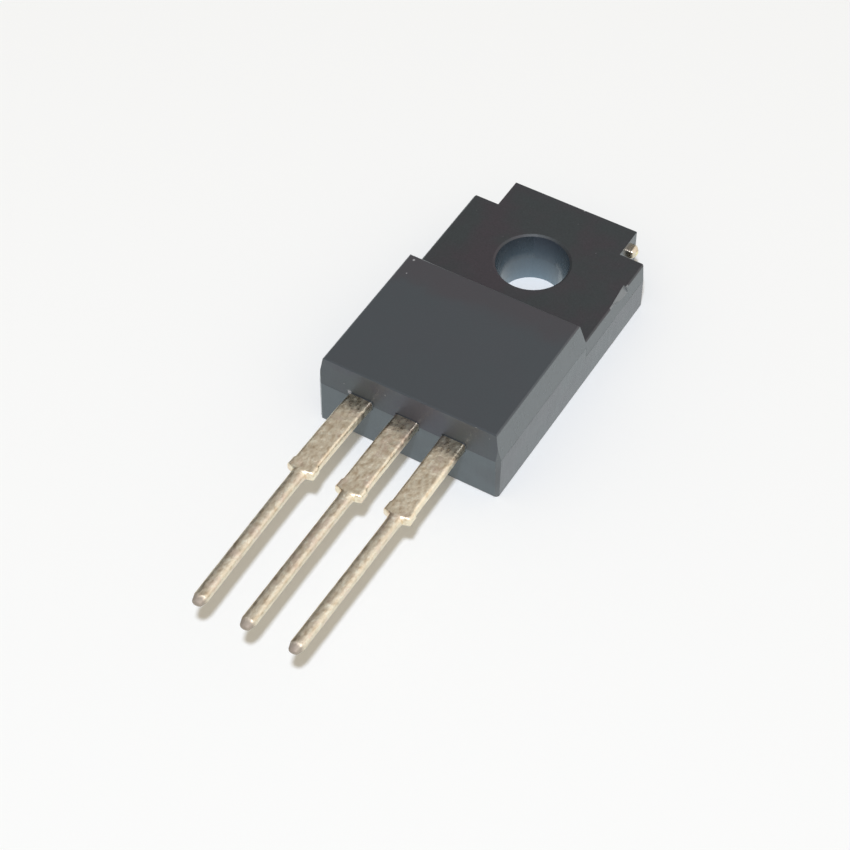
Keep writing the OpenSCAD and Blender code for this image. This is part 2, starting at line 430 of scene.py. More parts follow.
@dataclass(frozen=True)
class MouldingCompound:
    """Dark epoxy with the fine texture of a spark-eroded mould."""

    cool: Colour = (0.019, 0.024, 0.025)
    warm: Colour = (0.027, 0.020, 0.025)
    patches: Grain = Grain(0.45, 3.0, 3.0, (0.35, 0.65))
    grain: Grain = Grain(11.0, 2.0, 5.0)
    grain_stops: tuple[tuple[float, Colour], ...] = ((0.3, (0.78,) * 3), (0.7, (1.2,) * 3))

    block_top: Colour = (0.044, 0.052, 0.059)
    block_top_warm: Colour = (0.047, 0.044, 0.050)
    block_top_share: float = 0.85
    block_top_z: float = 4.2
    warm_span: Span = (-4.5, -2.5)
    warm_border: Grain = Grain(0.6, 2.0, 8.0)
    warm_border_reach: float = 4.0

    wall_slopes: Span = (0.5, 0.9)
    facing: float = 0.9
    flat: float = 0.95
    leaning_from: float = 0.03
    rim_from: float = 0.25
    hole_reach: float = 2.0
    tab_t: float = 2.75

    # Painted reflection of the floor on the walls, in patches: stronger on the lower end face and the upper
    # side walls, weaker on the upper end face and the lower side walls.
    wall_painted_reflection: Colour = (0.095, 0.106, 0.111)
    end_painted_reflection: Colour = (0.070, 0.088, 0.098)
    painted_reflection: Grain = Grain(0.7, 2.0, 14.0)
    painted_reflection_least: float = 0.35
    painted_reflection_spread: float = 0.8
    end_reflection_more: float = 0.3
    upper_end_reflection_less: float = 0.8
    side_reflection_less: float = 0.8
    upper_side_reflection_more: float = 1.6
    # Painted shade: dark violet patches on the upper part of the end face.
    end_painted_shade: Colour = (0.032, 0.030, 0.048)
    end_shade_patches: Grain = Grain(0.42, 2.0, 21.0, (0.42, 0.60))
    end_shade_share: float = 0.7
    # Painted light on the hole's wall: a bluish reflection of the floor low down, fading into painted shade
    # at the top.
    hole_painted_reflection_low: Colour = (0.140, 0.205, 0.250)
    hole_painted_shade_high: Colour = (0.028, 0.036, 0.048)

    fracture: Colour = (0.19, 0.20, 0.205)
    fracture_places: tuple[tuple[Place, float], ...] = (((4.85, 0.1, 2.6), 0.95), ((0.5, 4.6, 2.7), 0.35))
    fleck: Colour = (0.30, 0.30, 0.31)
    flecks: Grain = Grain(5.5, 1.0, 9.0, (0.79, 0.82))
    fleck_share: float = 0.5
    spots: tuple[Spot, ...] = (Spot((-4.35, -4.25, 4.3), 0.09), Spot((-3.2, -12.15, 2.88), 0.15),
                               Spot((0.36, 4.6, 2.66), 0.10), Spot((-4.2, -5.2, 4.3), 0.05))

    index: float = 1.65
    roughness: float = 0.36
    sheen: Grain = Grain(1.3, 3.0, 7.0)
    sheen_spread: float = 0.14
    drag_sheen: float = 0.16
    wall_gloss: float = 0.12
    rim_dullness: float = 0.25
    end_dullness: float = 0.16
    drag: Grain = Grain(1.0, 3.0, 2.0, stretch=(7.0, 7.0, 0.7))
    drag_lost_in_hole: float = 0.6
    drag_depth: float = 0.0036 * MM
    texture: Grain = Grain(8.0, 3.0, 6.0)
    texture_depth: float = 0.006 * MM
    waves: Grain = Grain(0.35, 1.0, 4.0)
    waviness: float = 0.02 * MM

    def material(self) -> bpy.types.Material:
        """Patchy near-black, painted reflection of the floor on the walls, painted shade on the upper end
        face and in the hole, sparse light flecks and drag lines from the mould.

        Returns:
            The material.
        """
        dress = Dress("moulding_compound")
        at = self._surface(dress)
        base = self._blemished(at, self._painted_light(at, self._resin(at)))
        worn = 1.0 - at.in_hole * self.drag_lost_in_hole
        drag = (dress.noise(at.place, self.drag) - 0.5) * at.wall * worn
        sheen = (dress.noise(at.place, self.sheen) - 0.5) * self.sheen_spread
        rough = self.roughness + sheen + drag * self.drag_sheen - at.wall * self.wall_gloss
        rough = rough + at.hole_rim * self.rim_dullness + at.end * self.end_dullness
        normal = dress.bump(dress.noise(at.place, self.waves), self.waviness)
        normal = dress.bump(dress.noise(at.place, self.texture), self.texture_depth, normal)
        normal = dress.bump(drag, self.drag_depth, normal)
        return dress.finish({"Base Color": base, "Roughness": rough, "IOR": self.index, "Normal": normal})

    def _surface(self, dress: Dress) -> CaseSurface:
        """Tells the case's faces apart by place and direction.

        Args:
            dress: the material's tree.

        Returns:
            The masks.
        """
        place = dress.place()
        across, along, height = dress.split(place)
        right, back, up = dress.split(dress.node("ShaderNodeNewGeometry")["True Normal"])
        in_hole = (across * across + along * along) < self.hole_reach ** 2
        return CaseSurface(
            dress=dress, place=place, along=along, height=height,
            wall=(1.0 - abs(up)).eased(*self.wall_slopes),
            end=back < -self.facing,
            side=abs(right) > self.facing,
            leaning=up > self.leaning_from,
            in_hole=in_hole,
            hole_rim=in_hole * (up > self.rim_from) * (up < self.flat),
            broken=(up < self.flat) * (abs(right) < self.flat) * (back < self.flat))

    def _resin(self, at: CaseSurface) -> Wire:
        """Colour of the bare resin.

        Args:
            at: the surface and its masks.

        Returns:
            The colour.
        """
        dress = at.dress
        base = dress.mix(dress.noise(at.place, self.patches), self.cool, self.warm)
        grain = dress.noise(at.place, self.grain)
        shade = dress.node("ShaderNodeValToRGB", {"stops": self.grain_stops}, {"Fac": grain})["Color"]
        base = dress.mix(1.0, base, shade, "MULTIPLY")
        border = dress.noise(at.place, self.warm_border) * self.warm_border_reach
        top = dress.mix((at.along + border).eased(*self.warm_span), self.block_top, self.block_top_warm)
        return dress.mix((at.height > self.block_top_z) * self.block_top_share, base, top)

    def _painted_light(self, at: CaseSurface, base: Wire) -> Wire:
        """Paints the floor's reflection on the walls in patches, painted shade on the upper end face, and
        painted light on the hole's wall.

        Args:
            at: the surface and its masks.
            base: colour below the dust.

        Returns:
            The colour.
        """
        dress = at.dress
        # Painted reflection of the floor: patchy, stronger on the lower end face and the upper side walls.
        painted_reflection = self.painted_reflection_least + dress.noise(at.place, self.painted_reflection) * self.painted_reflection_spread
        on_end = at.end * (self.end_reflection_more - at.leaning * self.upper_end_reflection_less)
        on_side = at.side * (at.leaning * self.upper_side_reflection_more - self.side_reflection_less)
        painted_reflection = painted_reflection * (1.0 + on_end + on_side)
        base = dress.mix(at.wall * painted_reflection, base, dress.mix(at.end, self.wall_painted_reflection, self.end_painted_reflection))
        # Painted shade in dark violet patches on the upper part of the end face.
        blush = at.end * at.leaning * dress.noise(at.place, self.end_shade_patches)
        base = dress.mix(blush * self.end_shade_share, base, self.end_painted_shade)
        # Painted light in the hole: bluish painted reflection low down, fading into painted shade towards
        # the top.
        hole_painted_light = dress.mix(at.height / self.tab_t, self.hole_painted_reflection_low, self.hole_painted_shade_high)
        return dress.mix(at.in_hole * at.wall, base, hole_painted_light)

    def _blemished(self, at: CaseSurface, base: Wire) -> Wire:
        """Adds the fresh breaks and the light flecks.

        Args:
            at: the surface and its masks.
            base: colour below them.

        Returns:
            The colour.
        """
        dress = at.dress
        for centre, reach in self.fracture_places:
            base = dress.mix(at.broken * (dress.distance(at.place, centre) < reach), base, self.fracture)
        flecks = dress.noise(at.place, self.flecks) * (at.height < self.block_top_z) * self.fleck_share
        for spot in self.spots:
            flecks = flecks.math("MAXIMUM", spot.mask(dress, at.place))
        return dress.mix(flecks, base, self.fleck)


@dataclass(frozen=True)
class SolderDip:
    """Copper sheet dipped in solder: dull tan, mottled brown and cream, bare where it was sheared."""

    layout: Layout
    tan: Colour = (0.93, 0.80, 0.60)
    brown: Colour = (0.70, 0.53, 0.345)
    pink: Colour = (0.86, 0.65, 0.53)
    cream: Colour = (0.97, 0.90, 0.72)
    shaded: Colour = (0.29, 0.29, 0.26)
    bare: Colour = (0.33, 0.28, 0.25)
    sheared: Colour = (0.90, 0.78, 0.46)
    mottle: Grain = Grain(1.0, 5.0, 1.0, stretch=(4.5, 2.6, 4.5))
    grain: Grain = Grain(1.0, 2.0, 2.0, stretch=(13.0, 9.0, 13.0))
    blush: Grain = Grain(1.3, 3.0, 12.0, (0.48, 0.66))
    scratches: Grain = Grain(1.0, 2.0, 8.0, stretch=(16.0, 0.9, 16.0))
    dents: Grain = Grain(2.6, 4.0, 17.0)
    tan_levels: Span = (0.26, 0.54)
    cream_levels: Span = (0.05, 0.24)
    brown_levels: Span = (0.28, 0.46)
    pink_share: float = 0.5
    cream_share: float = 0.75
    brown_share: float = 0.4
    shaded_l: float = 1.1
    shaded_border: float = 0.9
    shaded_share: float = 0.3
    shoulder_l: float = 5.2
    shoulder_fade: float = 0.5
    narrow_share: float = 0.2
    bare_l: float = 0.55
    bare_fade: float = 0.3
    bare_border: float = 0.4
    bare_share: float = 0.7
    stub_x: float = 3.84
    stub_fade: float = 0.03
    roughness: float = 0.42
    mottle_sheen: float = 0.5
    grain_sheen: float = 0.2
    shaded_gloss: float = 0.12
    bare_dullness: float = 0.35
    dent_depth: float = 0.05 * MM
    grain_depth: float = 0.008 * MM
    scratch_depth: float = 0.003 * MM

    def material(self) -> bpy.types.Material:
        """Mottled metal with fine lines along the leads and dents in the coat.

        Returns:
            The material.
        """
        dress = Dress("solder_dip")
        place = dress.place()
        x, y, _ = dress.split(place)
        mottle = dress.noise(place, self.mottle)
        grain = dress.noise(place, self.grain)
        base = dress.mix(mottle.eased(*self.tan_levels), self.brown, self.tan)
        base = dress.mix(dress.noise(place, self.blush) * self.pink_share, base, self.pink)
        cream = (mottle + grain - 1.0).eased(*self.cream_levels)
        base = dress.mix(cream * self.cream_share, base, self.cream)
        base = dress.mix((1.0 - grain.eased(*self.brown_levels)) * self.brown_share, base, self.brown)
        out = self.layout.exit_y - y
        ragged = out + (mottle - 0.5) * self.shaded_border
        shade = 1.0 - ragged.eased(self.shaded_l * 0.5, self.shaded_l)
        narrow = out.eased(self.shoulder_l, self.shoulder_l + self.shoulder_fade)
        base = dress.mix(shade * self.shaded_share + narrow * self.narrow_share, base, self.shaded)
        to_tip = self.layout.tip_y + self.bare_l - y
        tip = (to_tip + (mottle - 0.5) * self.bare_border).eased(0.0, self.bare_fade)
        base = dress.mix(tip * self.bare_share, base, self.bare)
        base = dress.mix((abs(x) - self.stub_x).eased(0.0, self.stub_fade), base, self.sheared)
        rough = self.roughness + (mottle - 0.5) * self.mottle_sheen - shade * self.shaded_gloss
        rough = rough + (grain - 0.5) * self.grain_sheen + tip * self.bare_dullness
        normal = dress.bump(dress.noise(place, self.dents), self.dent_depth)
        normal = dress.bump(grain, self.grain_depth, normal)
        normal = dress.bump(dress.noise(place, self.scratches), self.scratch_depth, normal)
        return dress.metal(base, rough, normal)


@dataclass(frozen=True)
class SoftSolder:
    """Grey solder with small pits."""

    light: Colour = (0.52, 0.52, 0.54)
    dark: Colour = (0.30, 0.30, 0.32)
    patches: Grain = Grain(3.0, 4.0, 1.0)
    light_levels: Span = (0.35, 0.65)
    pits: Grain = Grain(9.0, 3.0, 2.0)
    pit_depth: float = 0.01 * MM
    roughness: float = 0.3
    sheen: float = 0.3

    def material(self) -> bpy.types.Material:
        """Dull metal, patchy and pitted.

        Returns:
            The material.
        """
        dress = Dress("soft_solder")
        place = dress.place()
        patches = dress.noise(place, self.patches)
        base = dress.mix(patches.eased(*self.light_levels), self.dark, self.light)
        rough = patches * self.sheen + self.roughness
        normal = dress.bump(dress.noise(place, self.pits), self.pit_depth)
        return dress.metal(base, rough, normal)


@dataclass(frozen=True)
class Silicon:
    """Silicon die with aluminium fingers on its upper face."""

    bulk: Colour = (0.13, 0.15, 0.20)
    metal: Colour = (0.78, 0.79, 0.80)
    finger_pitch: float = 0.34
    finger_share: float = 0.6
    finger_height: float = 0.004 * MM
    top_z: float = 1.57
    stain: Grain = Grain(2.0, 3.0, 1.0)
    roughness: float = 0.08
    sheen: float = 0.2

    def material(self) -> bpy.types.Material:
        """Dark mirror with a comb of fingers across X, on the upper face alone.

        Returns:
            The material.
        """
        dress = Dress("silicon")
        place = dress.place()
        x, _, z = dress.split(place)
        comb = (x / self.finger_pitch).math("FRACT")
        metal = (comb < self.finger_share) * (z > self.top_z)
        base = dress.mix(metal, self.bulk, self.metal)
        rough = dress.noise(place, self.stain) * self.sheen + self.roughness
        normal = dress.bump(metal, self.finger_height)
        return dress.metal(base, rough, normal)


@dataclass(frozen=True)
class BondWireMetal:
    """Drawn aluminium wire."""

    metal: Colour = (0.80, 0.81, 0.82)
    line: Colour = (0.55, 0.56, 0.58)
    lines: Grain = Grain(4.0, 3.0, 1.0, stretch=(4.0, 1.0, 4.0))
    line_share: float = 0.3
    line_depth: float = 0.003 * MM
    roughness: float = 0.15
    sheen: float = 0.2

    def material(self) -> bpy.types.Material:
        """Bright metal with faint drawing lines.

        Returns:
            The material.
        """
        dress = Dress("bond_wire_metal")
        lines = dress.noise(dress.place(), self.lines)
        base = dress.mix(lines * self.line_share, self.metal, self.line)
        rough = lines * self.sheen + self.roughness
        normal = dress.bump(lines, self.line_depth)
        return dress.metal(base, rough, normal)


def placed(name: str, data: bpy.types.ID) -> bpy.types.Object:
    """Puts a new object at the origin.

    Args:
        name: its name.
        data: the mesh, lamp or camera that it shows.

    Returns:
        The object.
    """
    made = bpy.data.objects.new(name, data)
    bpy.context.scene.collection.objects.link(made)
    return made


class Recipe(Bench):
    """A Geometry Nodes tree with named inputs, which works in millimetres."""

    def __init__(self, name: str, inputs: dict[str, float], counts: dict[str, int]) -> None:
        """Starts the tree.

        Args:
            name: the tree's name.
            inputs: named sizes and amounts with their defaults.
            counts: named whole numbers with their defaults.
        """
        super().__init__(bpy.data.node_groups.new(name, "GeometryNodeTree"))
        face = self.tree.interface
        face.new_socket("Geometry", in_out="OUTPUT", socket_type="NodeSocketGeometry")
        face.new_socket("Geometry", in_out="INPUT", socket_type="NodeSocketGeometry")
        for label, value in inputs.items():
            face.new_socket(label, in_out="INPUT", socket_type="NodeSocketFloat").default_value = value
        for label, value in counts.items():
            face.new_socket(label, in_out="INPUT", socket_type="NodeSocketInt").default_value = value
        face.new_socket("Material", in_out="INPUT", socket_type="NodeSocketMaterial")
        self.given = self.node("NodeGroupInput")

    def close(self, geometry: Wire) -> None:
        """Ends the tree: shaded smooth, realized, and in its material.

        Args:
            geometry: what the tree has made.
        """
        smooth = self.node("GeometryNodeSetShadeSmooth", {}, {"Geometry": geometry})["Geometry"]
        real = self.node("GeometryNodeRealizeInstances", {}, {"Geometry": smooth})["Geometry"]
        sockets = {"Geometry": real, "Material": self.given["Material"]}
        dressed = self.node("GeometryNodeSetMaterial", {}, sockets)["Geometry"]
        self.node("NodeGroupOutput", {}, {"Geometry": dressed})

    def run(self, values: dict, place: Matrix, start: bpy.types.Mesh | None = None) -> bpy.types.Mesh:
        """Runs the tree and keeps its result as a plain mesh in metres.

        Args:
            values: named inputs that differ from their defaults.
            place: where the result goes, in metres.
            start: mesh that goes into the tree, in millimetres.

        Returns:
            The mesh.
        """
        blank = placed("blank", start or bpy.data.meshes.new("blank"))
        modifier = blank.modifiers.new("recipe", "NODES")
        modifier.node_group = self.tree
        for item in self.tree.interface.items_tree:
            if item.name in values and item.in_out == "INPUT":
                modifier[item.identifier] = values[item.name]
        evaluated = blank.evaluated_get(bpy.context.evaluated_depsgraph_get())
        mesh = bpy.data.meshes.new_from_object(evaluated)
        bpy.data.objects.remove(blank)
        mesh.transform(place @ Matrix.Scale(MM, 4))
        return mesh


class StripRecipe(Recipe):
    """A stamped strip along -Y: wide near its root, narrow beyond its shoulder, tapered at its tip."""

    SIZES = {"Root": 0.3, "Length": 14.0, "Wide Width": 1.3, "Wide Length": 5.2, "Narrow Width": 0.7,
             "Thickness": 0.55, "Edge Radius": 0.15, "Bow": 0.0, "Crown": 0.45,
             "Nub Width": 0.07, "Nub Length": 0.55, "Tip Length": 0.45, "Tip Inset": 0.14, "Tip Round": 0.12,
             "Coat": 0.012, "Seed": 1.0}
    COUNTS = {"Sides": 72, "Rings": 280}
    CORNER_STEPS = 6
    SHOULDER_BLUR = 0.07
    RING_CROWDING = 1.3
    CROWN_POWER = 2.4
    WIDE_CROWN = 0.12
    BOW_CROWDING = 0.7
    ROOT_END = 0.0001
    SAMPLE_LIMIT = 0.0005
    SWELL_SCALE = 0.9
    SWELL_SHARE = 2.4
    RIPPLE_SCALE = 3.2
    RIPPLE_SHARE = 1.1
    RIPPLE_SEED_STEP = 7.0
    NOISE_DETAIL = 2.0
    BEAD_FROM_SHOULDER = 0.1
    BEAD_HALF = 0.22
    BEAD_POWER = 4.0
    BEAD_SHARE = 2.2
    COAT_FADE = 0.3

    def __init__(self) -> None:
        """Builds the tree."""
        super().__init__("solder_dipped_strip", self.SIZES, self.COUNTS)
        sockets = {"Geometry": self._blank(), "Distance": self.SAMPLE_LIMIT}
        merged = self.node("GeometryNodeMergeByDistance", {}, sockets)["Geometry"]
        self.close(self._coated(merged))

    def _section(self, around: Wire) -> tuple[Wire, Wire]:
        """Places round the rounded rectangle that the wide part has for a section.

        Args:
            around: share of the way round, from 0 to 1.

        Returns:
            The places across and up.
        """
        given = self.given
        sizes = {"Width": given["Wide Width"], "Height": given["Thickness"]}
        outline = self.node("GeometryNodeCurvePrimitiveQuadrilateral", {}, sizes)["Curve"]
        corners = {"Curve": outline, "Count": self.CORNER_STEPS, "Radius": given["Edge Radius"]}
        rounded = self.node("GeometryNodeFilletCurve", {"mode": "POLY"}, corners)["Curve"]
        at = self.node("GeometryNodeSampleCurve", {"mode": "FACTOR"}, {"Curves": rounded, "Factor": around})
        across, up, _ = self.split(at["Position"])
        return across, up

    def _blank(self) -> Wire:
        """Grid wrapped round the strip's section.

        Returns:
            The closed skin of the strip before its coat.
        """
        given = self.given
        counts = {"Size X": 1.0, "Size Y": 1.0, "Vertices X": given["Sides"], "Vertices Y": given["Rings"]}
        grid = self.node("GeometryNodeMeshGrid", {}, counts)["Mesh"]
        u, v, _ = self.split(self.node("GeometryNodeInputPosition")["Position"])
        share = v + 0.5
        span = given["Root"] + given["Length"]
        out = span * (1.0 - (1.0 - share).math("MAXIMUM", 0.0) ** self.RING_CROWDING) - given["Root"]
        across, up = self._section(u + 0.5)

        blur = self.SHOULDER_BLUR
        wide_half = given["Wide Width"] / 2
        thick_half = given["Thickness"] / 2
        wideness = 1.0 - out.eased(given["Wide Length"] - blur, given["Wide Length"] + blur)
        nub_start = given["Wide Length"] - given["Nub Length"]
        nub = out.eased(nub_start - blur, nub_start) * wideness * given["Nub Width"]
        half = given["Narrow Width"] / 2 + (wide_half - given["Narrow Width"] / 2) * wideness + nub
        taper = (out - given["Length"] + given["Tip Length"]) / given["Tip Length"]
        taper = taper.math("MAXIMUM", 0.0) * given["Tip Inset"]
        ending = ((out - given["Length"] + given["Tip Round"]) / given["Tip Round"]).math("MAXIMUM", 0.0)
        closing = (1.0 - ending * ending).math("MAXIMUM", 0.0).math("SQRT") * (share > self.ROOT_END)
        edgeness = (abs(across) / wide_half) ** self.CROWN_POWER
        crowned = 1.0 - given["Crown"] * (1.0 - wideness * (1.0 - self.WIDE_CROWN)) * edgeness
        length_share = (out.math("MAXIMUM", 0.0) / given["Length"]).math("MINIMUM", 1.0)
        bow = given["Bow"] * (math.pi * length_share ** self.BOW_CROWDING).math("SINE")
        x = across * (half - taper) / wide_half * closing + bow
        z = up * crowned * (thick_half - taper) / thick_half * closing
        moved = {"Geometry": grid, "Position": self.joined(x, -out, z)}
        return self.node("GeometryNodeSetPosition", {}, moved)["Geometry"]

    def _coated(self, skin: Wire) -> Wire:
        """Skin moved along its normals by the uneven thickness of the solder.

        Args:
            skin: the strip before its coat.

        Returns:
            The coated strip.
        """
        given = self.given
        place = self.node("GeometryNodeInputPosition")["Position"]
        out = -self.split(place)[1]
        swells = Grain(self.SWELL_SCALE, self.NOISE_DETAIL, given["Seed"])
        ripples = Grain(self.RIPPLE_SCALE, self.NOISE_DETAIL, given["Seed"] + self.RIPPLE_SEED_STEP)
        swell = (self.noise(place, swells) - 0.5) * self.SWELL_SHARE
        ripple = (self.noise(place, ripples) - 0.5) * self.RIPPLE_SHARE
        bead = (out - given["Wide Length"] - self.BEAD_FROM_SHOULDER) / self.BEAD_HALF
        bead = 1.0 / (1.0 + bead ** self.BEAD_POWER)
        coat = (swell + ripple + bead * self.BEAD_SHARE) * given["Coat"] * out.eased(0.0, self.COAT_FADE)
        normal = self.node("GeometryNodeInputNormal")["Normal"]
        shift = self.vector("SCALE", {0: normal, "Scale": coat})
        return self.node("GeometryNodeSetPosition", {}, {"Geometry": skin, "Offset": shift})["Geometry"]


class BeadRecipe(Recipe):
    """A thin bead of resin that follows a path of edges, now thicker and now thinner."""

    SIZES = {"Radius": 0.03, "Step": 0.05, "Unevenness": 0.7, "Seed": 2.0}
    COUNTS = {"Sides": 8}
    LUMP_SCALE = 1.1
    LUMP_DETAIL = 4.0

    def __init__(self) -> None:
        """Builds the tree."""
        super().__init__("resin_bead", self.SIZES, self.COUNTS)
        given = self.given
        path = self.node("GeometryNodeMeshToCurve", {}, {"Mesh": given["Geometry"]})["Curve"]
        steps = {"Curve": path, "Length": given["Step"]}
        fine = self.node("GeometryNodeResampleCurve", {"mode": "LENGTH"}, steps)["Curve"]
        place = self.node("GeometryNodeInputPosition")["Position"]
        lumps = self.noise(place, Grain(self.LUMP_SCALE, self.LUMP_DETAIL, given["Seed"])) - 0.5
        radius = given["Radius"] * (1.0 + lumps * 2.0 * given["Unevenness"])
        circle = {"Resolution": given["Sides"], "Radius": 1.0}
        ring = self.node("GeometryNodeCurvePrimitiveCircle", {"mode": "RADIUS"}, circle)["Curve"]
        sockets = {"Curve": fine, "Profile Curve": ring, "Scale": radius, "Fill Caps": True}
        self.close(self.node("GeometryNodeCurveToMesh", {}, sockets)["Mesh"])


def joined_copy(node: str) -> bmesh.types.BMesh:
    """Copy of a CAD node with its loose triangles joined into whole faces.

    Args:
        node: the node's name.

    Returns:
        The copy, in metres.
    """
    copy = bmesh.new()
    copy.from_mesh(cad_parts[node].data)
    bmesh.ops.remove_doubles(copy, verts=copy.verts, dist=MERGE_WITHIN)
    same_plane = math.radians(SAME_PLANE_DEGREES)
    bmesh.ops.dissolve_limit(copy, angle_limit=same_plane, verts=copy.verts, edges=copy.edges)
    return copy


def trim(copy: bmesh.types.BMesh, point: Vector, away: Vector) -> None:
    """Cuts a closed mesh at a plane and closes the cut.

    Args:
        copy: the mesh to cut.
        point: a point on the plane.
        away: direction of the side that goes.
    """
    whole = [*copy.verts, *copy.edges, *copy.faces]
    bmesh.ops.bisect_plane(copy, geom=whole, dist=ON_PLANE, plane_co=point, plane_no=away, clear_outer=True)
    rim = [edge for edge in copy.edges if edge.is_boundary]
    bmesh.ops.holes_fill(copy, edges=rim, sides=0)


def kept(copy: bmesh.types.BMesh, name: str, material: bpy.types.Material) -> bpy.types.Object:
    """Turns an edited copy into an object at the origin, shaded smooth all over.

    Args:
        copy: the finished mesh, which is freed.
        name: the object's name.
        material: its only material.

    Returns:
        The object.
    """
    bmesh.ops.recalc_face_normals(copy, faces=copy.faces)
    for face in copy.faces:
        face.smooth = True
    mesh = bpy.data.meshes.new(name)
    copy.to_mesh(mesh)
    copy.free()
    mesh.materials.clear()
    mesh.materials.append(material)
    return placed(name, mesh)


def report(piece: bpy.types.Object, slot: Slot, *nodes: str) -> None:
    """Fixes a piece to the body and logs it.

    Args:
        piece: the finished piece.
        slot: material slot of the record that it takes its finish from; not used.
        nodes: CAD nodes that it stands for.
    """
    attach(piece, BODY)
    if nodes:
        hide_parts(*nodes)
    piece.data.calc_loop_triangles()
    log.info("%s: %d triangles", piece.name, len(piece.data.loop_triangles))


@dataclass
class MouldedCase:
    """The case: block, tab, hole and notches, with what the mould leaves on them."""

    layout: Layout
    finish: MouldingCompound = MouldingCompound()
    edge_round: float = 0.025 * MM
    edge_steps: int = 3
    sharp_angle: float = 15.0
    flat_angle: float = 2.0
    flat_area: float = 0.2 * MM * MM
    hole_reach: float = 2.05 * MM
    seam_radius: float = 0.0045
    block_seam_h: float = 2.6
    step_y: float = -3.6
    step_l: float = 0.1
    notch_l: float = 2.05
    corner: float = 0.2

    def __post_init__(self) -> None:
        """Takes the case's box and makes its material."""
        self.low, self.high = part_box("case")
        self.material = self.finish.material()

    def _lies_on_sealed(self, copy: bmesh.types.BMesh) -> set[int]:
        """Vertices of the case's copy that lie on a piece it was moulded round.

        Args:
            copy: joined copy of the case.

        Returns:
            Their numbers.
        """
        found = set()
        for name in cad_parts.keys() - {"case"}:
            piece = joined_copy(name)
            tree = BVHTree.FromBMesh(piece)
            piece.free()
            for vertex in copy.verts:
                distance = tree.find_nearest(vertex.co)[3]
                if distance is not None and distance < MERGE_WITHIN:
                    found.add(vertex.index)
        return found

    def _is_broken(self, edge: bmesh.types.BMEdge) -> bool:
        """Whether an edge belongs to a fresh break, which stays sharp."""
        return any(all((vertex.co / MM - Vector(centre)).length < reach for vertex in edge.verts)
                   for centre, reach in self.finish.fracture_places)

    def shell(self) -> bpy.types.Object:
        """The case with every outer edge softened.

        Returns:
            The piece that stands for the CAD case.
        """
        copy = joined_copy("case")
        copy.verts.index_update()
        inner = self._lies_on_sealed(copy)
        weight = copy.edges.layers.float.new("bevel_weight_edge")
        for edge in copy.edges:
            angle = math.degrees(edge.calc_face_angle(0.0))
            outer = not any(vertex.index in inner for vertex in edge.verts)
            in_hole = all(vertex.co.xy.length < self.hole_reach for vertex in edge.verts)
            rounded = outer and angle > self.sharp_angle and not self._is_broken(edge)
            edge[weight] = float(rounded)
            edge.smooth = rounded or in_hole or angle < self.flat_angle
        piece = kept(copy, "moulded_case", self.material)
        bevel = piece.modifiers.new("edges", "BEVEL")
        bevel.limit_method = "WEIGHT"
        bevel.width = self.edge_round
        bevel.segments = self.edge_steps
        weighted = piece.modifiers.new("flat walls", "WEIGHTED_NORMAL")
        weighted.keep_sharp = True
        evaluated = piece.evaluated_get(bpy.context.evaluated_depsgraph_get())
        mesh = bpy.data.meshes.new_from_object(evaluated)
        piece.modifiers.clear()
        self._flatten(mesh)
        piece.data = mesh
        return piece

    def _flatten(self, mesh: bpy.types.Mesh) -> None:
        """Gives every corner of a large flat wall that wall's own normal.

        Args:
            mesh: the softened case.
        """
        normals = [corner.vector.copy() for corner in mesh.corner_normals]
        for face in mesh.polygons:
            if face.area > self.flat_area and face.center.xy.length > self.hole_reach:
                for corner in face.loop_indices:
                    normals[corner] = face.normal.copy()
        mesh.normals_split_custom_set(normals)

    @staticmethod
    def _on_skin(points: list[Place]) -> list[Vector]:
        """Moves points of a path onto the case.

        Args:
            points: places close to the case, in millimetres.

        Returns:
            The nearest places on its skin.
        """
        copy = joined_copy("case")
        tree = BVHTree.FromBMesh(copy)
        copy.free()
        return [tree.find_nearest(Vector(point) * MM)[0] / MM for point in points]

    def seam_path(self) -> bpy.types.Mesh:
        """Closed path of the mould's parting round the case, in millimetres.

        Returns:
            A mesh of edges.
        """
        side = self.high.x / MM
        front = self.low.y / MM
        back = self.high.y / MM
        notch = back - self.notch_l
        tab_end = self.layout.tab_end_half
        tab_h = self.layout.tab_seam_h
        b = self.corner
        half = [(side - b, front, self.block_seam_h), (side, front + b, self.block_seam_h),
                (side, self.step_y, self.block_seam_h), (side, self.step_y + self.step_l, tab_h),
                (side, notch - b, tab_h), (side - b, notch, tab_h), (tab_end, notch, tab_h),
                (tab_end, back - b, tab_h), (tab_end - b, back, tab_h)]
        points = self._on_skin(half + [(-x, y, z) for x, y, z in reversed(half)])
        mesh = bpy.data.meshes.new("seam_path")
        count = len(points)
        mesh.from_pydata(points, [(i, (i + 1) % count) for i in range(count)], [])
        return mesh

    def build(self, beads: BeadRecipe) -> None:
        """Makes and reports the case, and the fine bead of resin along the mould's parting.

        Args:
            beads: the tree that makes the bead.
        """
        report(self.shell(), Slot.CASE, "case")
        values = {"Radius": self.seam_radius, "Material": self.material}
        copy = bmesh.new()
        copy.from_mesh(beads.run(values, Matrix.Identity(4), self.seam_path()))
        report(kept(copy, "parting_seam", self.material), Slot.CASE)


